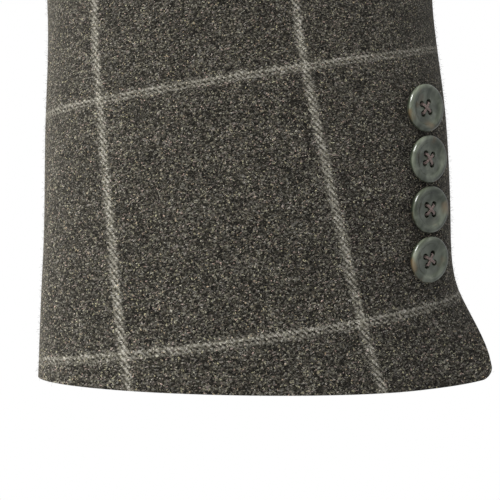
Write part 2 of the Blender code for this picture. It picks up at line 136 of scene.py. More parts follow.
def make_tweed():
    material, tree, shader = new_material("Charcoal woollen twill", {
        "Roughness": 0.95, "Specular IOR Level": 0.15, "Sheen Weight": 0.25,
        "Sheen Roughness": 0.45, "Sheen Tint": linear("D8D2C4"),
    })
    node = partial(add_node, tree)
    grain = node("ShaderNodeUVMap", uv_map="grain")
    cut = node(VECTORS, {0: grain, "Scale": GRAIN_TO_MM}, operation="SCALE")
    across, along = node("ShaderNodeSeparateXYZ", (cut,)).node.outputs[:2]

    # The yarns wander a little, as raised wool does
    wander = node(NOISE, {"Vector": cut, "Scale": WANDER_PER_MM, "Detail": 3.0}, "Color",
                  noise_dimensions="2D")
    wander = node(VECTORS, (wander, (0.5, 0.5, 0.5)), operation="SUBTRACT")
    worn = node(VECTORS, (wander, (WANDER, WANDER, WANDER), cut), operation="MULTIPLY_ADD")

    # Short lengths of yarn show on the face, each its own colour, leaning as the twill does
    leaning = node("ShaderNodeMapping", {
        "Vector": worn, "Rotation": (0.0, 0.0, FLECK_LEAN), "Scale": FLECKS_PER_MM,
    })
    flecks = node("ShaderNodeTexVoronoi", {"Vector": leaning, "Scale": 1.0}, "Distance",
                  voronoi_dimensions="2D")
    chance = node("ShaderNodeSeparateColor", (flecks.node.outputs["Color"],)).node.outputs
    yarn = node(RAMP, (chance[0],), stops=(
        (0.00, "13110E"), (0.22, "36332B"), (0.45, "5D594E"), (0.66, "8A8579"), (0.84, "B8B3A6"),
        (1.00, "F2EEE2"),
    ))
    tint = node(RAMP, (chance[1],), stops=(
        (0.00, "FFEFF1"), (0.25, "F3F4F8"), (0.55, "F6F7EF"), (0.80, "F6F6E6"), (1.00, "FDF1E8"),
    ))
    pale = node(RAMP, (chance[0],), stops=(
        (0.00, "5E5A50"), (0.30, "96917F"), (0.60, "B5B0A1"), (1.00, "E2DED2"),
    ))

    # A Mix node's two colours are its inputs 6 and 7, and the mixed one is its output 2
    yarn = node(MIX, {0: 1.0, 6: yarn, 7: tint}, 2, data_type="RGBA", blend_type="MULTIPLY")
    fibres = node(NOISE, {"Vector": cut, "Scale": FIBRES_PER_MM, "Detail": 4.0, "Roughness": 0.7},
                  noise_dimensions="2D")
    nap = node(RANGE, (fibres, 0.30, 0.70, 0.0, 1.26))
    yarn = node(VECTORS, {0: yarn, "Scale": nap}, operation="SCALE")

    # Fulling leaves soft lighter and darker clouds
    clouds = node(NOISE, {"Vector": cut, "Scale": CLOUDS_PER_MM, "Detail": 3.0},
                  noise_dimensions="2D")
    clouds = node(RAMP, (clouds,), stops=((0.30, "767676"), (0.70, "8A8A8A")))
    yarn = node(MIX, {0: 1.0, 6: yarn, 7: clouds}, 2, data_type="RGBA", blend_type="OVERLAY")

    # The check: steep dashes upright, rows of short dashes level, brightest where they cross
    fray = node(MATHS, (fibres, 0.5), operation="SUBTRACT")
    fray = node(MATHS, (fray, LINE_FRAY), operation="MULTIPLY")
    twill_run = node(MATHS, (across, along), operation="ADD")
    dash_run = node(MATHS, (across, DASH_SLANT, along), operation="MULTIPLY_ADD")
    dashes = node(RANGE, (wave(node, dash_run, DASH_LENGTH), -0.7, 0.5, 0.25, 1.0),
                  interpolation_type="SMOOTHSTEP")
    rows = node(MATHS, (wave(node, along, ROW_LENGTH), wave(node, twill_run, BEAD_LENGTH)),
                operation="ADD")
    rows = node(RANGE, (rows, -1.6, 1.0), interpolation_type="SMOOTHSTEP")
    upright = line(node, across, PANE_WIDTH, fray, UPRIGHT_LINE)
    upright = node(MATHS, (upright, dashes), operation="MULTIPLY")
    level = line(node, along, PANE_HEIGHT, fray, LEVEL_LINE)
    level = node(MATHS, (level, rows), operation="MULTIPLY")
    check = node(MATHS, (level, LEVEL_SHARE, upright), operation="MULTIPLY_ADD")
    check = node(MATHS, (check, CROSSING_MOST), operation="MINIMUM")
    check = node(MATHS, (check, CHECK_SHARE), operation="MULTIPLY")
    colour = node(MIX, {0: check, 6: yarn, 7: pale}, 2, data_type="RGBA")

    height = 0.0
    for layer, share in ((fibres, 1.2), (wave(node, twill_run, TWILL_LENGTH), 0.10),
                         (flecks, -0.5), (check, 0.25)):
        height = node(MATHS, (layer, share, height), operation="MULTIPLY_ADD")
    bump = node("ShaderNodeBump", {"Strength": 0.7, "Distance": 0.0003, "Height": height})
    set_inputs(tree, shader, {"Base Color": colour, "Normal": bump})
    return material


TWEED = make_tweed()

Crease = namedtuple("Crease", "start end width depth")
CREASE_FADE = 0.25


def panel_grain(rows, reference=0):
    """Places on the flat cut: across from the reference column, and up along that column."""
    grain = []
    up = 0.0
    for k, row in enumerate(rows):
        if k:
            up += (row[reference] - rows[k - 1][reference]).length
        runs = [0.0]
        for here, there in zip(row, row[1:]):
            runs.append(runs[-1] + (there - here).length)
        grain.append([(run - runs[reference], up) for run in runs])
    return grain


def crease_depth(place, crease):
    """How deep a crease is at a place on the cut: full along its line, fading past its ends."""
    start = Vector(crease.start)
    reach = Vector(crease.end) - start
    t = (place - start).dot(reach) / reach.length_squared
    if not -CREASE_FADE < t < 1.0 + CREASE_FADE:
        return 0.0
    away = (place - start - reach * t).length / crease.width
    ends = math.cos(math.pi / (1.0 + 2.0 * CREASE_FADE) * (t - 0.5))
    return crease.depth * math.exp(-away * away) * max(ends, 0.0)


def eased(rows, grain, creases):
    """The sheet with its creases pressed in (or raised, where the depth is below nothing)."""
    made = []
    for i, row in enumerate(rows):
        made.append([])
        for j, point in enumerate(row):
            side = row[min(j + 1, len(row) - 1)] - row[max(j - 1, 0)]
            up = rows[min(i + 1, len(rows) - 1)][j] - rows[max(i - 1, 0)][j]
            normal = side.cross(up)
            place = Vector(grain[i][j])
            deep = sum(crease_depth(place, crease) for crease in creases)
            if deep and normal.length > 1e-9:
                point = point - normal.normalized() * deep
            made[-1].append(point)
    return made


def new_object(name, data):
    made = bpy.data.objects.new(name, data)
    bpy.context.scene.collection.objects.link(made)
    return made


def plain_mesh(rough, name):
    """The object with its modifiers made real, under its own name."""
    bpy.context.view_layer.update()
    shown = rough.evaluated_get(bpy.context.evaluated_depsgraph_get())
    mesh = bpy.data.meshes.new_from_object(shown)
    bpy.data.objects.remove(rough, do_unlink=True)
    mesh.name = name
    return new_object(name, mesh)


def bevelled(rough, label, limit, width):
    bevel = rough.modifiers.new(label, "BEVEL")
    bevel.limit_method = "ANGLE"
    bevel.angle_limit = limit
    bevel.width = width
    bevel.segments = 2


def corners_and_faces(sheets):
    """The points and faces of some sheets, each a list of rows of points."""
    corners = []
    faces = []
    for rows in sheets:
        columns = len(rows[0])
        for i in range(len(rows) - 1):
            for j in range(columns - 1):
                low = len(corners) + i * columns + j
                faces.append((low, low + 1, low + columns + 1, low + columns))
        corners += [point for row in rows for point in row]
    return corners, faces


def cloth(name, *sheets):
    """A piece of cloth from sheets of points with their grain, thickened inwards, edges rounded."""
    corners, faces = corners_and_faces([rows for rows, _ in sheets])
    places = [place for _, grain in sheets for row in grain for place in row]
    mesh = bpy.data.meshes.new(name)
    mesh.from_pydata(corners, [], faces)
    uv = mesh.uv_layers.new(name="grain")
    for loop in mesh.loops:
        uv.data[loop.index].uv = places[loop.vertex_index]
    mesh.shade_smooth()
    mesh.materials.append(TWEED)
    rough = new_object(name + "_rough", mesh)
    wall = rough.modifiers.new("Wall", "SOLIDIFY")
    wall.thickness = CLOTH
    wall.offset = -1.0
    wall.use_even_offset = True
    bevelled(rough, "Edge", EDGE_LIMIT, CUT_EDGE)
    return plain_mesh(rough, name)


def mirrored(rows, grain):
    """A sheet and its grain for the coat's other side."""
    rows = [[Vector((-point.x, point.y, point.z)) for point in row][::-1] for row in rows]
    return rows, [[(-across, up) for across, up in row][::-1] for row in grain]


def sew_on(piece, node):
    """The piece rides on the coat, in place of the CAD node where there is one."""
    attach(piece, "root")
    if node:
        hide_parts(node)


SEAM = 0.0003
SIDE_GAP = 0.0007
RIDGE_GAP = 0.0012
PRESSED_DEPTH = 0.0030
PRESSED_WIDTH = 0.0070
BodyLevel = namedtuple("BodyLevel", "level height front_depth back_depth side")
BODY_LEVELS = (
    BodyLevel(0.00, -1.030, 0.150, 0.150, 0.262),
    BodyLevel(0.25, -0.840, 0.140, 0.140, 0.249),
    BodyLevel(0.50, -0.650, 0.130, 0.128, 0.232),
    BodyLevel(0.75, -0.450, 0.124, 0.100, 0.211),
    BodyLevel(1.00, -0.265, 0.138, 0.118, 0.222),
    BodyLevel(1.25, -0.190, 0.137, 0.122, 0.222),
    BodyLevel(1.50, -0.105, 0.120, 0.116, 0.222),
    BodyLevel(1.75, -0.020, 0.084, 0.084, 0.222),
    BodyLevel(1.88, 0.020, 0.046, 0.046, 0.222),
    BodyLevel(2.00, 0.033, 0.000, 0.000, 0.222),
)
SKIRT_STEPS = 36
CHEST_STEPS = 28
LEVELS = [k / SKIRT_STEPS for k in range(SKIRT_STEPS)]
LEVELS += [1.0 + k / CHEST_STEPS for k in range(CHEST_STEPS + 1)]
FULLNESS = 1.72
CROWDING = 1.4
SHOULDER = Vector((0.225, 0.006, -0.055))
UNDERARM = Vector((0.222, 0.000, -0.265))
ARMHOLE_FRONT = 0.064
ARMHOLE_BACK = 0.088
ARMHOLE_DIP = 0.024
Flute = namedtuple("Flute", "face place spread depth top")
FLUTES = (
    Flute(-1, 0.42, 0.10, 0.0050, 0.70),
    Flute(-1, 0.74, 0.12, 0.0080, 0.85),
    Flute(1, 0.30, 0.11, 0.0070, 0.80),
    Flute(1, 0.66, 0.12, 0.0085, 0.75),
)
FLUTE_FADE = 1.5
NECK_HALF = 0.085
NEAR_MIDDLE = NECK_HALF / 20.0
BACK_NECK_HEIGHT = -0.018
BACK_COLUMNS = 32
PAST_MIDDLE = -0.4
HALVINGS = 30


def smooth(value):
    """From 0 to 1 with soft ends, for a value from 0 to 1."""
    value = min(max(value, 0.0), 1.0)
    return value * value * (3.0 - 2.0 * value)


def hermite(start, leaving, end, arriving, t):
    """A smooth curve from start to end with its directions at both."""
    return (
        start * (2 * t ** 3 - 3 * t ** 2 + 1)
        + leaving * (t ** 3 - 2 * t ** 2 + t)
        + end * (3 * t ** 2 - 2 * t ** 3)
        + arriving * (t ** 3 - t ** 2)
    )


def read_table(table, column, at):
    """One column of a table at a place in its first column, on a smooth curve through the rows."""
    places = [row[0] for row in table]
    values = [getattr(row, column) for row in table]
    at = min(max(at, places[0]), places[-1])
    i = max(k for k in range(len(places) - 1) if places[k] <= at)

    def slope(k):
        low = max(k - 1, 0)
        high = min(k + 1, len(places) - 1)
        return (values[high] - values[low]) / (places[high] - places[low])

    span = places[i + 1] - places[i]
    t = (at - places[i]) / span
    return hermite(values[i], slope(i) * span, values[i + 1], slope(i + 1) * span, t)


def armhole(turn):
    """The armhole's ring; turn is 0 at the shoulder seam and grows over the front to the underarm."""
    high = (1.0 + math.cos(turn)) / 2.0
    point = UNDERARM.lerp(SHOULDER, high)
    point.z = UNDERARM.z + (SHOULDER.z - UNDERARM.z) * high
    reach = ARMHOLE_FRONT if math.sin(turn) > 0.0 else ARMHOLE_BACK
    point.y -= reach * math.sin(turn)
    point.x -= ARMHOLE_DIP * math.sin(turn) ** 2
    return point


def body_point(face, across, level):
    """The coat's body: face -1 front or +1 back, across 0 middle to 1 side seam or armhole."""
    height = read_table(BODY_LEVELS, "height", level)
    depth = read_table(BODY_LEVELS, "front_depth" if face < 0 else "back_depth", level)
    middle = Vector((0.0, face * depth, height))
    if level <= 1.0:
        end = Vector((read_table(BODY_LEVELS, "side", level), 0.0, height))
    else:
        end = armhole(-face * math.pi * (2.0 - level))
    straight = smooth(level - 1.0)
    leaving = Vector((FULLNESS * end.x, 0.0, 0.0)).lerp(end - middle, straight)
    arriving = Vector((0.0, -face * FULLNESS * depth, 0.0)).lerp(end - middle, straight)
    point = hermite(middle, leaving, end, arriving, abs(across))
    for flute in FLUTES:
        if flute.face == face and level < flute.top:
            away = (abs(across) - flute.place) / flute.spread
            fade = (1.0 - level / flute.top) ** FLUTE_FADE
            swell = flute.depth * math.exp(-away * away) * fade
            point += Vector((point.x, point.y, 0.0)).normalized() * swell
    if across < 0.0:
        point.x = -point.x
    return point


def find_across(face, level, edge):
    """How far across the body's surface meets the line x = edge(height)."""
    low, high = PAST_MIDDLE, 1.0
    for _ in range(HALVINGS):
        mid = (low + high) / 2.0
        point = body_point(face, mid, level)
        if point.x < edge(point.z):
            low = mid
        else:
            high = mid
    return (low + high) / 2.0


def neck_edge(height):
    """The back neckline, nearly level behind and rising to the shoulder seams."""
    rise = (height - BACK_NECK_HEIGHT) / -BACK_NECK_HEIGHT
    return NECK_HALF * math.sqrt(min(max(rise, 0.0), 1.0))


def seam_back(inner, edge, gap):
    """An edge point drawn back towards its piece, to leave the seam's gap."""
    return edge + (inner - edge).normalized() * gap


def body_row(face, start, level, columns):
    """A row of the body from its start to the side seam, its columns closer together there."""
    places = [1.0 - (1.0 - k / columns) ** CROWDING for k in range(columns + 1)]
    return [body_point(face, start + (1.0 - start) * place, level) for place in places]


def shoulder_seam(rows):
    """The rows with the last one drawn back from the shoulder seam."""
    return rows[:-1] + [[seam_back(*pair, RIDGE_GAP) for pair in zip(rows[-2], rows[-1])]]


def back_rows():
    """Half the back from its hem to the shoulder seam, from the side to the centre seam."""
    rows = []
    for level in LEVELS:
        start = find_across(1, level, neck_edge) if level > 1.0 else 0.0
        row = body_row(1, start, level, BACK_COLUMNS)
        row[0] = seam_back(row[1], row[0], SEAM)
        row[-1] = seam_back(row[-2], row[-1], SIDE_GAP)
        rows.append(row)
    return [row[::-1] for row in shoulder_seam(rows)]


def pressed_open(rows, grain, column, last):
    """A seam's allowances pressed open behind an edge of the piece, up to its last row."""
    made = []
    flat = []
    inner = 1 if column == 0 else -2
    for i in range(last + 1):
        edge = rows[i][column]
        along = (rows[i][inner] - edge).normalized() * (1.0 if column == 0 else -1.0)
        up = rows[i + 1][column] - rows[max(i - 1, 0)][column]
        behind = edge - along.cross(up).normalized() * PRESSED_DEPTH
        across, height = grain[i][column]
        made.append([behind + along * away for away in (-PRESSED_WIDTH, PRESSED_WIDTH)])
        flat.append([(across + away, height) for away in (-PRESSED_WIDTH, PRESSED_WIDTH)])
    return made, flat


# Across from the centre seam (below nothing, towards the side) and up from the hem
BACK_CREASES = (
    Crease((-0.060, 0.05), (-0.075, 0.62), 0.022, 0.0024),
    Crease((-0.150, 0.02), (-0.130, 0.50), 0.018, 0.0028),
    Crease((-0.215, 0.10), (-0.190, 0.66), 0.020, -0.0018),
    Crease((-0.230, 0.86), (-0.110, 0.78), 0.014, 0.0022),
    Crease((-0.210, 0.74), (-0.070, 0.66), 0.015, 0.0026),
    Crease((-0.190, 0.63), (-0.060, 0.60), 0.012, 0.0018),
    Crease((-0.060, 0.93), (-0.170, 0.90), 0.018, 0.0014),
)
plain_back = back_rows()
back_grain = panel_grain(plain_back, BACK_COLUMNS)
back_form = eased(plain_back, back_grain, BACK_CREASES)
underarm_row = LEVELS.index(1.0)
neck_row = sum(row[-1].x < NEAR_MIDDLE for row in back_form) - 1
side_seam = pressed_open(back_form, back_grain, 0, underarm_row)
centre_seam = pressed_open(back_form, back_grain, -1, neck_row)
back_left = cloth("back_half_left", (back_form, back_grain), side_seam, centre_seam)
sew_on(back_left, "back_left")
back_right = cloth("back_half_right", mirrored(back_form, back_grain), mirrored(*side_seam))
sew_on(back_right, "back_right")

# ---------------------------------------------------------------------------------------------
# The fronts, of the same tweed: the left laps over the right and is buttoned to it, and each edge
# folds back at the roll line. They have a dart's ease over the chest, soft drags from the top
# button and flutes below the hip, and are sewn to the back at the shoulder and the side.

LAP = 0.030
BREAK_HEIGHT = -0.400
CROSSING_HEIGHT = -0.290
LAP_LIFT = 0.0030
LAPEL_LIFT = 0.0078
LAPEL_ROOM_BELOW = 0.065
LAPEL_ROOM_RISE = 0.035
LAP_FADE = 0.10
FRONT_COLUMNS = 40


def front_edge(height):
    """The left front's edge up to the break, then its roll line up to the neck."""
    rise = max(height - BREAK_HEIGHT, 0.0) / -BREAK_HEIGHT
    return -LAP + (LAP + NECK_HALF) * min(rise, 1.0)


def lap_lift(point):
    """How far the left front is moved out where it laps over the right one."""
    near = 1.0 - smooth((point.x - 1.5 * LAP) / (2.0 * LAP))
    up = smooth((point.z - BREAK_HEIGHT + LAPEL_ROOM_BELOW) / LAPEL_ROOM_RISE)
    apart = 1.0 - smooth((point.z - CROSSING_HEIGHT) / LAP_FADE)
    return near * apart * (LAP_LIFT + (LAPEL_LIFT - LAP_LIFT) * up)


def lapped(row, is_left):
    """The row, moved out over the right front where it is the left one's."""
    for point in row if is_left else ():
        point.y -= lap_lift(point)
    return row


def front_rows(is_left):
    """The front from its hem to the shoulder seam, from its front edge and roll line to the side."""
    rows = []
    for level in LEVELS:
        start = find_across(-1, level, front_edge)
        row = lapped(body_row(-1, start, level, FRONT_COLUMNS), is_left)
        row[-1] = seam_back(row[-2], row[-1], SIDE_GAP)
        rows.append(row)
    return shoulder_seam(rows)


def front_grain(rows):
    """The front's grain, kept upright where its edge slants away along the roll line."""
    return [[(across + row[0].x + LAP, up) for across, up in places]
            for row, places in zip(rows, panel_grain(rows))]


# Across from the front edge towards the side seam and up from the hem
FRONT_CREASES = (
    Crease((0.120, 0.03), (0.135, 0.50), 0.020, 0.0026),
    Crease((0.205, 0.02), (0.185, 0.58), 0.022, -0.0022),
    Crease((0.255, 0.06), (0.235, 0.64), 0.017, 0.0024),
    Crease((0.085, 0.60), (0.190, 0.545), 0.014, 0.0022),
    Crease((0.090, 0.645), (0.220, 0.665), 0.013, 0.0020),
    Crease((0.110, 0.70), (0.230, 0.760), 0.015, 0.0018),
    Crease((0.190, 0.80), (0.245, 0.740), 0.012, 0.0022),
)
left_rows = front_rows(True)
right_rows = front_rows(False)
left_grain = front_grain(left_rows)
right_grain = front_grain(right_rows)
front_left = cloth("front_panel_left", (eased(left_rows, left_grain, FRONT_CREASES), left_grain))
sew_on(front_left, "front_left")
front_right = cloth("front_panel_right",
                    mirrored(eased(right_rows, right_grain, FRONT_CREASES), right_grain))
sew_on(front_right, "front_right")

# ---------------------------------------------------------------------------------------------
# The lapels: the facing's turned part, of the same tweed. Each rolls back from the break, lies on
# its front up to the gorge, where it is sewn to the collar, and ends in a notch's point.

GORGE_FOOT = Vector((0.072, 0.0, -0.048))
NOTCH_TIP = Vector((0.150, 0.0, -0.112))
LAPEL_BELLY = 0.010
LAPEL_START = 0.10
LAPEL_STEPS = 48
LAPEL_COLUMNS = 16
LAPEL_CROWDING = 1.15
LAYER = 0.0036
FOLD_OUT = 0.0036
FOLD_UNDER = 0.6
FOLD_LOOK = 0.01
BED_STEPS = 48
BED_PAST = 0.25
LOOK_FROM = 0.5


def tree_of(*sheets):
    """The faces of some sheets, to find places on them."""
    return BVHTree.FromPolygons(*corners_and_faces(sheets))


def front_bed(is_left):
    """The front's face run on past its edge and roll line, for the lapel to lie on."""
    places = [-BED_PAST + (1.0 + BED_PAST) * k / BED_STEPS for k in range(BED_STEPS + 1)]
    return tree_of([
        lapped([body_point(-1, place, step / BED_STEPS) for place in places], is_left)
        for step in range(2 * BED_STEPS + 1)
    ])


def in_front(tree, x, z):
    """The point of a front's face straight behind the place (x, z), and its normal."""
    hit, normal, _, _ = tree.ray_cast(Vector((x, -LOOK_FROM, z)), Vector((0.0, 1.0, 0.0)))
    return hit, normal if normal.y < 0.0 else -normal


def lapel_rows(tree):
    """The turned lapel, from the break up to the gorge, its fold round the front's edge."""
    rows = []
    for k in range(LAPEL_STEPS + 1):
        t = LAPEL_START + (1.0 - LAPEL_START) * k / LAPEL_STEPS
        roll_z = BREAK_HEIGHT + (GORGE_FOOT.z - BREAK_HEIGHT) * t
        roll_x = front_edge(roll_z)
        tip_x = -LAP + (NOTCH_TIP.x + LAP) * t + LAPEL_BELLY * math.sin(math.pi * t)
        tip_z = BREAK_HEIGHT + (NOTCH_TIP.z - BREAK_HEIGHT) * t
        edge, normal = in_front(tree, roll_x, roll_z)
        above, _ = in_front(tree, front_edge(roll_z + FOLD_LOOK), roll_z + FOLD_LOOK)
        aside = normal.cross(above - edge).normalized()
        if aside.x > 0.0:
            aside = -aside
        fold = edge + aside * FOLD_OUT
        row = [fold - normal * CLOTH * FOLD_UNDER, fold + normal * CLOTH]
        for step in range(LAPEL_COLUMNS + 1):
            w = (step / LAPEL_COLUMNS) ** LAPEL_CROWDING
            hit, normal = in_front(tree, roll_x + (tip_x - roll_x) * w, roll_z + (tip_z - roll_z) * w)
            row.append(hit + normal * LAYER)
        rows.append(row)
    return rows


for side in ("left", "right"):
    rows = lapel_rows(front_bed(side == "left"))
    sheet = rows, panel_grain(rows, 2)
    lapel = cloth(f"turned_lapel_{side}", sheet if side == "left" else mirrored(*sheet))
    sew_on(lapel, f"lapel_{side}")

# ---------------------------------------------------------------------------------------------
# The collar: one folded wall of the tweed. Its stand is sewn to the neckline, it folds over at the
# top, and its fall is turned down over the back and the shoulders to the lapels' notches.

COLLAR_LAYER = 0.0030
FOOT_GAP = 0.0009
STAND_LEAN = 0.12
STAND_SHARES = (0.3, 0.6, 0.85)
FOLD_CURVE = ((0.0020, 0.0016), (0.0042, 0.0022), (0.0066, 0.0014))     # outwards and up
FALL_START = 0.0085
FALL_STEPS = 10
STAND_POINTS = 8
COLLAR_STEPS = 36
LIES_TO = 0.28
LIFTS_OVER = 0.12
INSIDE_BELOW = 0.15
CollarStation = namedtuple("CollarStation", "place neck_x neck_y neck_z stand edge_x edge_y edge_z")
COLLAR_STATIONS = (
    CollarStation(0.00, 0.0700, -0.0560, -0.0420, 0.004, 0.1280, -0.0800, -0.0600),
    CollarStation(0.25, 0.0790, -0.0270, -0.0120, 0.019, 0.1370, -0.0450, -0.0300),
    CollarStation(0.50, 0.0820, 0.0100, 0.0000, 0.029, 0.1370, 0.0150, -0.0050),
    CollarStation(0.75, 0.0560, 0.0640, -0.0060, 0.037, 0.0980, 0.1000, -0.0330),
    CollarStation(1.00, 0.0000, 0.0800, -0.0130, 0.042, 0.0000, 0.1240, -0.0440),
)


def clear_of(tree, point, clearance):
    """The point, moved out until it is clear of the faces below it."""
    near, normal, _, _ = tree.find_nearest(point)
    inside = Vector((0.0, 0.0, near.z - INSIDE_BELOW))
    if normal.dot(near - inside) < 0.0:
        normal = -normal
    above = (point - near).dot(normal)
    return point + normal * max(clearance - above, 0.0)


def collar_rows(tree):
    """The collar: its stand up from the neckline, the fold, and the fall down over the shoulders."""
    half = []
    for k in range(COLLAR_STEPS + 1):
        place = k / COLLAR_STEPS
        neck = Vector(read_table(COLLAR_STATIONS, f"neck_{axis}", place) for axis in "xyz")
        edge = Vector(read_table(COLLAR_STATIONS, f"edge_{axis}", place) for axis in "xyz")
        stand = read_table(COLLAR_STATIONS, "stand", place)
        foot = tree.find_nearest(neck)[0] + Vector((0.0, 0.0, FOOT_GAP))
        outward = Vector((edge.x - neck.x, edge.y - neck.y, 0.0)).normalized()
        foot -= outward * FOOT_GAP
        fold = foot + Vector((0.0, 0.0, stand)) - outward * STAND_LEAN * stand
        start = fold + outward * FALL_START
        row = [foot, *(foot.lerp(fold, share) for share in STAND_SHARES), fold]
        row += [fold + outward * out + Vector((0.0, 0.0, up)) for out, up in FOLD_CURVE]
        row += [start.lerp(edge, step / FALL_STEPS) for step in range(FALL_STEPS + 1)]
        lying = 1.0 - smooth((place - LIES_TO) / LIFTS_OVER)
        half.append([
            spot.lerp(clear_of(tree, spot, COLLAR_LAYER), lying if n < STAND_POINTS else 1.0)
            for n, spot in enumerate(row)
        ])
    other = [[Vector((-spot.x, spot.y, spot.z)) for spot in row] for row in half[:-1]]
    return other + half[::-1]


body_tree = tree_of(left_rows, mirrored(right_rows, right_grain)[0],
                    plain_back, mirrored(plain_back, back_grain)[0])
collar_sheet = collar_rows(body_tree)
collar = cloth("folded_collar", (collar_sheet, panel_grain(collar_sheet, STAND_POINTS)))
sew_on(collar, "collar")

# ---------------------------------------------------------------------------------------------
# The sleeves, of the same tweed with a plain hem: each of a top and an under sleeve, set into the
# armhole and sewn together up to the vent. There the top sleeve's free edge lies over the under
# sleeve's underlap and stands away at its lower corner.

CUFF = Vector((0.435, -0.025, -0.653))
CUFF_AXIS = Vector((-0.290, 0.120, 0.950)).normalized()
BROAD_SIDE = math.radians(-58.0)
BICEPS = Vector((0.297, 0.008, -0.285))
BICEPS_AXIS = Vector((-0.370, 0.030, 0.930)).normalized()
BICEPS_SIDE = math.radians(10.0)
TWIST_START = 0.10
AXIS_LOOK = 0.001
Ring = namedtuple("Ring", "rise half_width half_depth front_shift")
RINGS = (
    Ring(0.000, 0.0690, 0.0265, 0.0025),
    Ring(0.025, 0.0685, 0.0280, 0.0020),
    Ring(0.050, 0.0680, 0.0300, 0.0010),
    Ring(0.085, 0.0665, 0.0330, 0.0010),
    Ring(0.125, 0.0632, 0.0365, 0.0015),
    Ring(0.200, 0.0636, 0.0480, 0.0000),
    Ring(0.290, 0.0680, 0.0620, 0.0000),
    Ring(0.396, 0.0700, 0.0720, 0.0000),
)
SLEEVE_RISE = RINGS[-1].rise
# Degrees round from the middle of the broad side
FORE_SEAM = -118.0
CREASED_SIDE = 68.0
FREE_EDGE = 92.0
TOP_END = 98.0
STEP_OUT = (100.5, 102.0, 104.0)
UNDER_REACH = 137.2
ARC_REACH = 254
HIND_SEAM = math.radians(TOP_END)
VENT_TOP = 0.104
VENT_CLOSES_OVER = 0.02
UNDERLAP = math.radians(40.0)
SEAM_ALLOWANCE = math.radians(4.0)
BUTTON_LINE = math.radians(57.5)
FLARE = 0.0160
FLARE_TOP = 0.052
FLARE_FADE = 1.35
FLARE_CURL = 1.6
FLARE_OUT = 0.35
CORNER_LIFT = 0.0022
CORNER_RADIUS = 0.0040
INSIDE = CLOTH + 0.0012
ALLOWANCE_DEPTH = 0.0034
ALLOWANCE_WIDTH = 0.008
ALLOWANCE_GRAIN = (0.004, 0.012)
CAP_GAP = 0.0010
CAP_LOOK = 0.01
CAP_LEAVES = (0.75, 0.35)     # how strongly the cap's curve leaves the biceps: all round, more on top
CAP_ARRIVES = (0.55, 0.25)
CAP_INWARD = 0.95
CAP_ASIDE = 0.25
CAP_UPWARD = (0.10, 0.05, 0.50)
CAP_INSIDE = 1.1
CAP_GRAIN = 0.17
WRIST_TOP = 0.13              # up to here the cut's grain leans, as the sleeve is twisted at the wrist
# The cut there: its start, its slopes along the run and the rise, its twist and its bend
ACROSS_TERMS = (0.0318, 0.888, 0.249, 2.19, -0.584)
UP_TERMS = (-0.0147, -0.126, 0.807, -0.168, 1.85)
PLAIN_OVER = 0.20
PLAIN_ACROSS = 0.0543
PLAIN_SLANT = 0.14


def sleeve_frame(rise):
    """Middle, sideways, outward and upward directions of the sleeve's ring at a rise above its hem."""
    reach = (BICEPS - CUFF).length
    t = rise / SLEEVE_RISE
    middle, ahead, behind = (
        hermite(CUFF, CUFF_AXIS * reach, BICEPS, BICEPS_AXIS * reach, at)
        for at in (t, min(t + AXIS_LOOK, 1.0), max(t - AXIS_LOOK, 0.0))
    )
    up = (ahead - behind).normalized()
    twist = smooth((rise - TWIST_START) / (SLEEVE_RISE - TWIST_START))
    turn = BROAD_SIDE + (BICEPS_SIDE - BROAD_SIDE) * twist
    facing = Vector((math.cos(turn), math.sin(turn), 0.0))
    facing = (facing - up * facing.dot(up)).normalized()
    return middle, up.cross(facing), facing, up


def ring_point(rise, turn, inset=0.0):
    """The sleeve's ring: turn 0 on the broad side, positive towards the hind seam."""
    middle, sideways, facing, _ = sleeve_frame(rise)
    width = read_table(RINGS, "half_width", rise) - inset
    depth = read_table(RINGS, "half_depth", rise) - inset
    shift = read_table(RINGS, "front_shift", rise)
    return middle + sideways * (width * math.sin(turn) - shift) + facing * depth * math.cos(turn)


def top_point(rise, turn):
    """The top sleeve's face: the ring, with the open vent's free edge standing away near the hem."""
    point = ring_point(rise, turn)
    past = (turn - BUTTON_LINE) / (HIND_SEAM - BUTTON_LINE)
    if past > 0.0:
        _, sideways, facing, up = sleeve_frame(rise)
        flare = FLARE * (1.0 - smooth(rise / FLARE_TOP)) ** FLARE_FADE
        point += sideways * flare * past ** FLARE_CURL
        point += facing * flare * FLARE_OUT * past ** 2
        point += up * CORNER_LIFT * flare / FLARE * past ** 2
    return point


def cap_point(turn, t):
    """From the biceps ring (t = 0) up to the armhole's ring (t = 1)."""
    low = ring_point(SLEEVE_RISE, turn)
    high = armhole(-turn) + Vector((CAP_GAP, 0.0, 0.0))
    below = ring_point(SLEEVE_RISE - CAP_LOOK, turn)
    reach = (high - low).length
    top = (1.0 + math.cos(turn)) / 2.0
    steady, falling, underneath = CAP_UPWARD
    upward = steady - falling * top + underneath * (1.0 - top) ** 2
    inward = Vector((-CAP_INWARD, CAP_ASIDE * math.sin(-turn), upward)).normalized()
    leaving = (low - below).normalized() * reach * (CAP_LEAVES[0] + CAP_LEAVES[1] * top)
    arriving = inward * reach * (CAP_ARRIVES[0] + CAP_ARRIVES[1] * top)
    return hermite(low, leaving, high, arriving, t)


def inside_cap(turn, t, inset):
    """A point just inside the cap's face, under the top sleeve's edge."""
    point = cap_point(turn, t)
    middle = BICEPS.lerp((SHOULDER + UNDERARM) / 2.0, t)
    return point - (point - middle).normalized() * inset


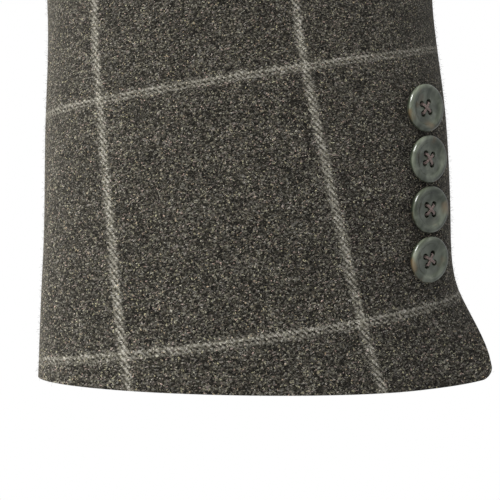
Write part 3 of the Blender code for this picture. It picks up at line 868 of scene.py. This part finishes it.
# Rows close together at the hem and its rounded corner, then over the vent, then up to the biceps
HEM_STEP = 0.0005
HEM_TOP = 0.0045
VENT_STEP = 0.0032
ARM_ROWS = 44
CAP_ROWS = 18
RISES = [k * HEM_STEP for k in range(9)] + [HEM_TOP + k * VENT_STEP for k in range(1, 40)]
RISES += [RISES[-1] + (SLEEVE_RISE - RISES[-1]) * k / ARM_ROWS for k in range(1, ARM_ROWS + 1)]
CAP_STEPS = [k / CAP_ROWS for k in range(1, CAP_ROWS + 1)]
ARCS = {}


def arc_to(rise, turn):
    """The run round the sleeve's ring from the middle of its broad side."""
    if rise not in ARCS:
        runs = {0: 0.0}
        for way in (-1, 1):
            last = ring_point(rise, 0.0)
            for degree in range(1, ARC_REACH + 1):
                here = ring_point(rise, math.radians(way * degree))
                runs[way * degree] = runs[way * (degree - 1)] + way * (here - last).length
                last = here
        ARCS[rise] = runs
    degrees = math.degrees(turn)
    low = math.floor(degrees)
    runs = ARCS[rise]
    return runs[low] + (runs[low + 1] - runs[low]) * (degrees - low)


def leaning(terms, run, rise):
    """One coordinate of the cut near the wrist."""
    start, by_run, by_rise, twist, bend = terms
    return start + by_run * run + by_rise * rise + twist * run * rise + bend * rise * rise


def sleeve_grain(rise, turn):
    """The cut's grain, a little aslant of the sleeve and curved near the wrist, plain above it."""
    run = arc_to(rise, turn)
    low = min(rise, WRIST_TOP)
    across, up = (leaning(terms, run, low) for terms in (ACROSS_TERMS, UP_TERMS))
    plain = smooth((rise - WRIST_TOP) / PLAIN_OVER)
    return (
        across + (run + PLAIN_ACROSS - across) * plain,
        up + rise - low + PLAIN_SLANT * run * plain,
    )


def rounded_corner(row, rise):
    """The free edge's last points, drawn back round the vent's lower corner."""
    _, _, _, up = sleeve_frame(rise)
    made = list(row)
    away = 0.0
    for k in range(len(row) - 1, 0, -1):
        if k < len(row) - 1:
            away += (row[k + 1] - row[k]).length
        if away >= CORNER_RADIUS or rise >= CORNER_RADIUS:
            break
        side = 1.0 - away / CORNER_RADIUS
        low = 1.0 - rise / CORNER_RADIUS
        round_side = side * math.sqrt(1.0 - low * low / 2.0)
        round_low = low * math.sqrt(1.0 - side * side / 2.0)
        inward = (row[k - 1] - row[k]).normalized()
        drawn = inward * (side - round_side) + up * (low - round_low)
        made[k] = row[k] + drawn * CORNER_RADIUS
    return made


def spaced(start, end, steps):
    return [start + (end - start) * k / steps for k in range(steps)]


TOP_TURNS = spaced(FORE_SEAM, CREASED_SIDE, 62) + spaced(CREASED_SIDE, FREE_EDGE, 14)
TOP_TURNS = [math.radians(turn) for turn in TOP_TURNS + spaced(FREE_EDGE, TOP_END, 8) + [TOP_END]]
# The under sleeve: its underlap (counted from the seam), the step out at the seam, then the rest
LAP_COLUMNS = 8
UNDER_COLUMNS = 44
UNDER_TURNS = [STEP_OUT[-1] + UNDER_REACH * k / UNDER_COLUMNS for k in range(1, UNDER_COLUMNS + 1)]
UNDER_TURNS = [math.radians(turn) for turn in [*STEP_OUT, *UNDER_TURNS]]
UNDER_INSETS = [INSIDE] * LAP_COLUMNS + [INSIDE, INSIDE * 0.5] + [0.0] * (len(UNDER_TURNS) - 2)


def lap_turns(lap):
    return [HIND_SEAM - lap * (1.0 - k / LAP_COLUMNS) for k in range(LAP_COLUMNS)]


def under_turns(rise):
    """The under sleeve's columns: its underlap is wide below the vent's top, a seam's above it."""
    open_vent = 1.0 - smooth((rise - VENT_TOP) / VENT_CLOSES_OVER)
    return lap_turns(SEAM_ALLOWANCE + (UNDERLAP - SEAM_ALLOWANCE) * open_vent) + UNDER_TURNS


def seam_allowance(row):
    """The cap's edge turned in under the body's cloth, as two more rows."""
    middle = (SHOULDER + UNDERARM) / 2.0
    under = []
    for point in row:
        away = Vector((0.0, point.y - middle.y, point.z - middle.z)).normalized()
        under.append(point - away * ALLOWANCE_DEPTH)
    return [under, [point + Vector((-ALLOWANCE_WIDTH, 0.0, 0.0)) for point in under]]


def sleeve_piece(rows, cap, turns_at, creases):
    """One piece of the sleeve: its rows up to the biceps, its cap, and the allowance at its head."""
    grain = [[sleeve_grain(rise, turn) for turn in turns_at(rise)] for rise in RISES]
    grain += [[(across, up + CAP_GRAIN * t) for across, up in grain[-1]] for t in CAP_STEPS]
    grain += [[(across, up + past) for across, up in grain[-1]] for past in ALLOWANCE_GRAIN]
    return eased(rows + cap + seam_allowance(cap[-1]), grain, creases), grain


TOP_CREASES = (
    Crease((-0.115, 0.205), (-0.040, 0.235), 0.011, 0.0030),
    Crease((-0.120, 0.245), (-0.030, 0.262), 0.012, 0.0034),
    Crease((-0.110, 0.290), (-0.020, 0.283), 0.012, 0.0026),
    Crease((-0.100, 0.160), (-0.060, 0.180), 0.012, 0.0016),
    Crease((-0.050, 0.480), (-0.080, 0.380), 0.014, 0.0020),
    Crease((0.055, 0.490), (0.075, 0.380), 0.014, 0.0020),
)
UNDER_CREASES = (
    Crease((0.285, 0.215), (0.210, 0.240), 0.012, 0.0026),
    Crease((0.290, 0.265), (0.200, 0.262), 0.012, 0.0028),
)
top_sheet = sleeve_piece(
    [rounded_corner([top_point(rise, turn) for turn in TOP_TURNS], rise) for rise in RISES],
    [[cap_point(turn, t) for turn in TOP_TURNS] for t in CAP_STEPS],
    lambda rise: TOP_TURNS, TOP_CREASES,
)
under_sheet = sleeve_piece(
    [[ring_point(rise, *spot) for spot in zip(under_turns(rise), UNDER_INSETS)] for rise in RISES],
    [[inside_cap(turn, t, inset * CAP_INSIDE)
      for turn, inset in zip(lap_turns(SEAM_ALLOWANCE) + UNDER_TURNS, UNDER_INSETS)]
     for t in CAP_STEPS],
    under_turns, UNDER_CREASES,
)
for side in ("left", "right"):
    for layer, sheet, flat, area in (("top", top_sheet, (0.365, 0.656), 0.150),
                                     ("under", under_sheet, (0.233, 0.500), 0.0778)):
        piece = cloth(f"{layer}_sleeve_cloth_{side}",
                      sheet if side == "left" else mirrored(*sheet))
        sew_on(piece, f"{layer}_sleeve_{side}")

# ---------------------------------------------------------------------------------------------
# The buttons: polished grey-green horn, turned with a rounded rim and a dished face, four holes,
# sewn on with a crossed taupe thread. Four kiss along each cuff's vent; three close the front.

Button = namedtuple("Button", "radius height rim dish hole spread")
CUFF_BUTTON = Button(0.0075, 0.0030, 0.0019, 0.0010, 0.00102, 0.0022)
FRONT_BUTTON = Button(0.0140, 0.0042, 0.0032, 0.0014, 0.00135, 0.0033)
DISH_SECTION = ((0.0, 1.0), (0.5, 1.0), (0.86, 0.94))       # shares of the dish's radius and depth
RIM_ACROSS = 0.62                                           # shares of the rim's width
RIM_UP = 0.5
FOOT_SECTION = ((0.97, 0.45), (0.90, 0.12), (0.85, 0.0), (0.0, 0.0))    # of the radius and height
HOLE_TURNS = [math.pi / 4.0 + k * math.pi / 2.0 for k in range(4)]
HOLE_EDGE = 0.16
HOLE_LIMIT = math.radians(50.0)
SHADED_WALL_OUT = 0.8                # past this share of the radius and below this one of the height the side wall gets a darker horn, as painted shade
SHADED_WALL_BELOW = 0.62             # the horn is left as it was sawn
TURNING_STEPS = 48
MERGED_WITHIN = 0.00001
DRILL_SIDES = 16
STRANDS = (-0.26, 0.0, 0.26)
STRAND = 0.17
STRAND_STEPS = 6
STRAND_SIDES = 6
STRAND_PAST = 0.15
STRAND_ARCH = 0.00022
STRAND_OVER = 0.00010
STRAND_SINKS = 0.0016
SINKS_FROM = 0.86
CUFF_BUTTON_RISES = (0.0890, 0.0734, 0.0578, 0.0422)
CUFF_SPINS = (0.20, -0.12, 0.06, 0.32)
FRONT_BUTTON_HEIGHTS = (-0.420, -0.540, -0.660)
FRONT_SPIN = 0.1
SHANK = 0.0005
LOOK_RISE = 0.002
LOOK_TURN = 0.02


def make_horn(name, roughness, tones):
    """Horn, cut across its fibres: streaked grey-green with brown clouds, under a clear polish."""
    material, tree, shader = new_material(name, {
        "Roughness": roughness, "Coat Weight": 0.35, "Coat Roughness": 0.12,
    })
    node = partial(add_node, tree)
    place = node("ShaderNodeTexCoord", out="Object")
    streaks = node("ShaderNodeMapping", {"Vector": place, "Scale": (420.0, 150.0, 190.0)})
    veins = node(NOISE, {"Vector": streaks, "Scale": 1.0, "Detail": 5.0, "Distortion": 0.6})
    base = node(RAMP, (veins,), stops=tuple(zip((0.25, 0.42, 0.55, 0.68, 0.80), tones)))
    clouds = node(NOISE, {"Vector": place, "Scale": 130.0, "Detail": 2.0})
    brown = node(RANGE, (clouds, 0.56, 0.70, 0.0, 0.55), interpolation_type="SMOOTHSTEP")
    base = node(MIX, {0: brown, 6: base, 7: linear("6E573A")}, 2, data_type="RGBA")
    bump = node("ShaderNodeBump", {"Strength": 0.2, "Distance": 0.00005, "Height": veins})
    set_inputs(tree, shader, {"Base Color": base, "Normal": bump})
    return material


def make_fibre(name, finish, rate, detail, stops):
    """Thread or loose wool: matt, and mottled along its length."""
    material, tree, shader = new_material(name, finish)
    place = add_node(tree, "ShaderNodeTexCoord", out="Object")
    mottle = add_node(tree, NOISE, {"Vector": place, "Scale": rate, "Detail": detail})
    set_inputs(tree, shader, {"Base Color": add_node(tree, RAMP, (mottle,), stops=stops)})
    return material


HORN = make_horn("Polished grey-green horn", 0.30, ("23271D", "454A3C", "5C6153", "747869", "7A6846"))
# A darker copy of the horn for the button's side wall: painted shade
HORN_WALL_SHADE = make_horn("Horn wall with painted shade", 0.42, ("11150E", "20261B", "2C3226", "3B4033", "4A3F2A"))
THREAD = make_fibre("Taupe sewing thread", {"Roughness": 0.70, "Sheen Weight": 0.3}, 2500.0, 2.0,
                    ((0.3, "5A4A44"), (0.7, "9A857C")))


def tube(points, radius, sides):
    """A round tube along some points, as corners and faces."""
    corners = []
    faces = []
    for k, point in enumerate(points):
        along = points[min(k + 1, len(points) - 1)] - points[max(k - 1, 0)]
        turned = along.normalized().to_track_quat("Z", "Y")
        for step in range(sides):
            turn = 2.0 * math.pi * step / sides
            corners.append(point + turned @ Vector((math.cos(turn), math.sin(turn), 0.0)) * radius)
    for k in range(len(points) - 1):
        for step in range(sides):
            here, after = k * sides + step, k * sides + (step + 1) % sides
            faces.append((here, after, after + sides, here + sides))
    faces.append(tuple(range(sides))[::-1])
    faces.append(tuple((len(points) - 1) * sides + step for step in range(sides)))
    return corners, faces


def tube_mesh(name, tubes, material):
    """One mesh of some tubes."""
    corners = []
    faces = []
    for some_corners, some_faces in tubes:
        faces += [tuple(len(corners) + k for k in face) for face in some_faces]
        corners += some_corners
    mesh = bpy.data.meshes.new(name)
    mesh.from_pydata(corners, [], faces)
    mesh.shade_smooth()
    mesh.materials.append(material)
    return mesh


def button_section(size):
    """Half the button's section, from the middle of its dished face round the rim to its foot."""
    r, h, rim = size.radius, size.height, size.rim
    section = [((r - rim) * out, h - size.dish * deep) for out, deep in DISH_SECTION]
    for degrees in range(150, -31, -15):
        turn = math.radians(degrees)
        section.append((r - rim * RIM_ACROSS + rim * RIM_ACROSS * math.cos(turn),
                        h - rim * RIM_UP + rim * RIM_UP * math.sin(turn)))
    return section + [(r * out, h * up) for out, up in FOOT_SECTION]


def aside(turn, reach=1.0):
    """A step of this reach from the button's middle, level with its face."""
    return Vector((reach * math.cos(turn), reach * math.sin(turn), 0.0))


def horn_disc(name, size):
    """The turned and drilled button, standing on the origin."""
    section = button_section(size)
    mesh = bpy.data.meshes.new(name)
    mesh.from_pydata([(x, 0.0, z) for x, z in section],
                     [(k, k + 1) for k in range(len(section) - 1)], [])
    mesh.materials.append(HORN)
    rough = new_object(name + "_rough", mesh)
    screw = rough.modifiers.new("Turn", "SCREW")
    screw.steps = TURNING_STEPS
    screw.render_steps = TURNING_STEPS
    screw.use_merge_vertices = True
    screw.merge_threshold = MERGED_WITHIN
    drills = []
    for turn in HOLE_TURNS:
        middle = aside(turn, size.spread)
        ends = [middle + Vector((0.0, 0.0, size.height * end)) for end in (-1.0, 2.0)]
        drill = tube_mesh("drill", [tube(ends, size.hole, DRILL_SIDES)], HORN)
        drills.append(new_object("drill", drill))
        cut = rough.modifiers.new("Hole", "BOOLEAN")
        cut.operation = "DIFFERENCE"
        cut.object = drills[-1]
    bevelled(rough, "Hole edge", HOLE_LIMIT, size.hole * HOLE_EDGE)
    piece = plain_mesh(rough, name)
    for drill in drills:
        bpy.data.objects.remove(drill, do_unlink=True)
    # The side wall's faces take the darker horn: painted shade on the wall all round
    piece.data.materials.append(HORN_WALL_SHADE)
    for face in piece.data.polygons:
        out, up = face.center.xy.length, face.center.z
        if up < size.height * SHADED_WALL_BELOW and out > size.radius * SHADED_WALL_OUT:
            face.material_index = len(piece.data.materials) - 1
    return piece


def crossed_thread(name, size):
    """Two crossed bars of three strands, going down into the holes."""
    strands = []
    for k, turn in enumerate(HOLE_TURNS[:2]):
        way = aside(turn)
        for off in STRANDS:
            beside = Vector((-way.y, way.x, 0.0)) * off * size.hole
            points = []
            for step in range(-STRAND_STEPS, STRAND_STEPS + 1):
                w = step / STRAND_STEPS
                arch = STRAND_ARCH * (1.0 + k) * (1.0 - w ** 6) + STRAND_OVER * (1.0 - abs(off))
                sink = STRAND_SINKS * max(abs(w) - SINKS_FROM, 0.0) / (1.0 - SINKS_FROM)
                up = Vector((0.0, 0.0, size.height - size.dish + arch - sink))
                points.append(way * w * (size.spread + size.hole * STRAND_PAST) + beside + up)
            strands.append(tube(points, size.hole * STRAND, STRAND_SIDES))
    return new_object(name, tube_mesh(name, strands, THREAD))


def button(name, size, foot, axis, spin, node):
    """A button and its thread, standing on its foot, facing along the axis."""
    turned = axis.to_track_quat("Z", "Y").to_matrix().to_4x4()
    place = Matrix.Translation(foot) @ turned @ Matrix.Rotation(spin, 4, "Z")
    piece = horn_disc(name, size)
    piece.data.transform(place)
    piece.data.shade_smooth()
    sew_on(piece, node)
    thread = crossed_thread(name + "_thread", size)
    thread.data.transform(place)
    sew_on(thread, None)


def cuff_button_place(rise):
    """A cuff button's foot on the top sleeve, and the way it faces."""
    point = top_point(rise, BUTTON_LINE)
    along = top_point(rise + LOOK_RISE, BUTTON_LINE) - top_point(rise - LOOK_RISE, BUTTON_LINE)
    around = top_point(rise, BUTTON_LINE + LOOK_TURN) - top_point(rise, BUTTON_LINE - LOOK_TURN)
    normal = around.cross(along).normalized()
    return point + normal * SHANK, normal


for side in ("left", "right"):
    for k, (rise, spin) in enumerate(zip(CUFF_BUTTON_RISES, CUFF_SPINS), 1):
        foot, axis = cuff_button_place(rise)
        if side == "right":
            foot.x, axis.x = -foot.x, -axis.x
        button(f"cuff_horn_{side}_{k}", CUFF_BUTTON, foot, axis, spin, f"cuff_button_{side}_{k}")
front_tree = tree_of(left_rows)
for k, height in enumerate(FRONT_BUTTON_HEIGHTS):
    foot, axis = in_front(front_tree, 0.0, height)
    button(f"front_horn_{k + 1}", FRONT_BUTTON, foot + axis * SHANK, axis, FRONT_SPIN * k,
           f"front_button_{k + 1}")

# ---------------------------------------------------------------------------------------------
# The front's buttonholes: slits worked round with close taupe stitches, reaching inwards from
# under each button. A node tree lays the stitches along each slit's outline.

SLIT_START = 0.010
SLIT_LENGTH = 0.019
SLIT_HALF = 0.0004
SLIT_END = 0.0008
SLIT_LIFT = 0.0003


def node_tool(name, inputs):
    """An empty geometry node tree with named inputs besides its geometry."""
    tree = bpy.data.node_groups.new(name, "GeometryNodeTree")
    tree.interface.new_socket("Geometry", in_out="INPUT", socket_type="NodeSocketGeometry")
    for label, kind, value in inputs:
        made = tree.interface.new_socket(label, in_out="INPUT", socket_type=kind)
        if value is not None:
            made.default_value = value
    tree.interface.new_socket("Geometry", in_out="OUTPUT", socket_type="NodeSocketGeometry")
    return tree, partial(add_node, tree), tree.nodes.new("NodeGroupInput").outputs


def rod(node, tip, radius, sides, capped):
    """A straight rod from the origin to its tip, which a tool repeats."""
    bar = node("GeometryNodeCurvePrimitiveLine", {"End": tip})
    ring = node("GeometryNodeCurvePrimitiveCircle", {"Resolution": sides, "Radius": radius},
                mode="RADIUS")
    return node("GeometryNodeCurveToMesh", {
        "Curve": bar, "Profile Curve": ring, "Fill Caps": capped,
    })


def lay(tree, node, laid, material):
    """The tool's end: its rods laid out, made real, and given their material."""
    rods = node("GeometryNodeInstanceOnPoints", laid)
    real = node("GeometryNodeRealizeInstances", {"Geometry": rods})
    painted = node("GeometryNodeSetMaterial", {"Geometry": real, "Material": material})
    tree.links.new(painted, tree.nodes.new("NodeGroupOutput").inputs[0])


def run_tool(tree, mesh, name, values):
    """A piece made by the tree from a mesh, its inputs set by their identifiers, sewn on."""
    rough = new_object(name + "_rough", mesh)
    modifier = rough.modifiers.new("Tool", "NODES")
    modifier.node_group = tree
    for item in tree.interface.items_tree:
        if item.item_type == "SOCKET" and item.in_out == "INPUT" and item.name in values:
            modifier[item.identifier] = values[item.name]
    rough.update_tag()
    sew_on(plain_mesh(rough, name), None)


STITCHES, node, given = node_tool("stitches_on_a_path", (
    ("Spacing", "NodeSocketFloat", 0.0006), ("Stitch length", "NodeSocketFloat", 0.0022),
    ("Thread radius", "NodeSocketFloat", 0.00025), ("Thread", "NodeSocketMaterial", None),
))
path_curve = node("GeometryNodeMeshToCurve", {"Mesh": given["Geometry"]})
spaced_out = node("GeometryNodeResampleCurve", {"Curve": path_curve, "Length": given["Spacing"]},
                  mode="LENGTH")
tip = node("ShaderNodeCombineXYZ", (given["Stitch length"],))
across_path = node("FunctionNodeAlignRotationToVector",
                   {"Vector": node("GeometryNodeInputTangent")}, axis="Y")
lay(STITCHES, node, {
    "Points": spaced_out, "Instance": rod(node, tip, given["Thread radius"], 6, True),
    "Rotation": across_path,
}, given["Thread"])

for k, height in enumerate(FRONT_BUTTON_HEIGHTS, 1):
    far = SLIT_START + SLIT_LENGTH
    corners = []
    for x, z in ((SLIT_START, -SLIT_HALF), (far, -SLIT_HALF), (far + SLIT_END, 0.0),
                 (far, SLIT_HALF), (SLIT_START, SLIT_HALF)):
        hit, axis = in_front(front_tree, x, height + z)
        corners.append(hit + axis * SLIT_LIFT)
    mesh = bpy.data.meshes.new("slit")
    mesh.from_pydata(corners, [(n, n + 1) for n in range(len(corners) - 1)], [])
    run_tool(STITCHES, mesh, f"front_buttonhole_{k}", {
        "Spacing": 0.0006, "Stitch length": 0.0020, "Thread radius": 0.00026, "Thread": THREAD,
    })

# ---------------------------------------------------------------------------------------------
# The nap: single wool fibres raised from the tweed's face. Those of both cuffs stand off the cloth
# and soften its outline. A node tree scatters them, each with its own lean and length.

NAP_ROWS = 48
MOST_LEAN = 1.15
ONE_TURN = 6.28
LENGTH_SHARES = (0.4, 1.3)
NAP, node, given = node_tool("nap_on_a_cloth", (
    ("Density", "NodeSocketFloat", 300000.0), ("Fibre length", "NodeSocketFloat", 0.0012),
    ("Fibre radius", "NodeSocketFloat", 0.00002), ("Seed", "NodeSocketInt", 7),
    ("Wool", "NodeSocketMaterial", None),
))
roots = node("GeometryNodeDistributePointsOnFaces", {
    "Mesh": given["Geometry"], "Density": given["Density"], "Seed": given["Seed"],
}, "Points", distribute_method="RANDOM")
tip = node("ShaderNodeCombineXYZ", {2: given["Fibre length"]})
lean = node("FunctionNodeRandomValue", {
    0: (-MOST_LEAN, -MOST_LEAN, 0.0), 1: (MOST_LEAN, MOST_LEAN, ONE_TURN), "Seed": given["Seed"],
}, data_type="FLOAT_VECTOR")
leant = node("FunctionNodeRotateRotation", {
    "Rotation": roots.node.outputs["Rotation"], "Rotate By": lean,
}, rotation_space="LOCAL")
shares = node("FunctionNodeRandomValue", {
    2: LENGTH_SHARES[0], 3: LENGTH_SHARES[1], "Seed": given["Seed"],
}, 1, data_type="FLOAT")
lay(NAP, node, {
    "Points": roots, "Instance": rod(node, tip, given["Fibre radius"], 3, False),
    "Rotation": leant, "Scale": shares,
}, given["Wool"])

WOOL = make_fibre("Loose wool fibre", {"Roughness": 0.9}, 900.0, 2.0,
                  ((0.3, "2E2B26"), (0.5, "6E695E"), (0.7, "B9B3A5")))
for side in ("left", "right"):
    sheet = top_sheet[0][:NAP_ROWS], top_sheet[1][:NAP_ROWS]
    corners, faces = corners_and_faces([(sheet if side == "left" else mirrored(*sheet))[0]])
    mesh = bpy.data.meshes.new("napped")
    mesh.from_pydata(corners, [], faces)
    run_tool(NAP, mesh, f"cuff_nap_{side}", {
        "Density": 450000.0, "Fibre length": 0.0011, "Fibre radius": 0.00002, "Seed": 7, "Wool": WOOL,
    })

# ---------------------------------------------------------------------------------------------
# The studio: a pale painted floor where a wearer would stand, white surroundings, a broad soft key
# light from the upper left and a weak fill. The camera looks square at the left sleeve's end.

FLOOR_RADIUS = 0.75
FLOOR_HEIGHT = -1.5
FLOOR_SIDES = 96
SURROUNDINGS = (1.0, 1.0, 1.0, 1.0)       # as the camera sees them
SOFT_LIGHT = (0.46, 0.47, 0.49, 1.0)      # as they light the cloth
LOOKED_AT = 0.0420
Lamp = namedtuple("Lamp", "name out aside up distance size power")
LAMPS = (
    Lamp("key", 0.75, -0.85, 1.20, 1.9, 0.9, 64.0),
    Lamp("fill", 0.50, 0.90, 0.20, 2.2, 1.4, 2.0),
)
RAISED = math.radians(4.58)
ASIDE = math.radians(0.75)
ROLL = math.radians(0.27)
DISTANCE = 0.375
AIM_RAISED = 0.00196

floor_mesh = bpy.data.meshes.new("floor")
turns = [2.0 * math.pi * k / FLOOR_SIDES for k in range(FLOOR_SIDES)]
floor_mesh.from_pydata(
    [(FLOOR_RADIUS * math.cos(turn), FLOOR_RADIUS * math.sin(turn), FLOOR_HEIGHT) for turn in turns],
    [], [tuple(range(FLOOR_SIDES))],
)
floor = new_object("floor", floor_mesh)
paint, _, _ = new_material("Pale painted floor", {"Roughness": 0.8, "Base Color": linear("E4E2DE")})
floor_mesh.materials.append(paint)

world = bpy.data.worlds.new("Studio")
bpy.context.scene.world = world
world.use_nodes = True
seen = add_node(world.node_tree, "ShaderNodeLightPath", out="Is Camera Ray")
lit = add_node(world.node_tree, MIX, {0: seen, 6: SOFT_LIGHT, 7: SURROUNDINGS}, 2, data_type="RGBA")
set_inputs(world.node_tree, world.node_tree.nodes["Background"], {"Color": lit})

middle, sideways, facing, up = sleeve_frame(LOOKED_AT)
for lamp in LAMPS:
    data = bpy.data.lights.new(lamp.name, "AREA")
    data.shape = "DISK"
    data.size = lamp.size
    data.energy = lamp.power
    light = new_object(lamp.name, data)
    way = (facing * lamp.out + sideways * lamp.aside + up * lamp.up).normalized()
    light.location = middle + way * lamp.distance
    light.rotation_mode = "QUATERNION"
    light.rotation_quaternion = way.to_track_quat("Z", "Y")

camera_data = bpy.data.cameras.new("camera")
camera_data.lens = 80.45
camera_data.sensor_width = 36.0
camera = new_object("camera", camera_data)
bpy.context.scene.camera = camera
level = facing * math.cos(ASIDE) + sideways * math.sin(ASIDE)
back = level * math.cos(RAISED) + up * math.sin(RAISED)
camera.location = middle + up * AIM_RAISED + back * DISTANCE
upright = (up - back * up.dot(back)).normalized()
rightward = upright.cross(back)
camera_up = upright * math.cos(ROLL) + rightward * math.sin(ROLL)
axes = Matrix((camera_up.cross(back), camera_up, back)).transposed()
camera.rotation_mode = "QUATERNION"
camera.rotation_quaternion = axes.to_quaternion()
bpy.context.scene.view_settings.view_transform = "Standard"
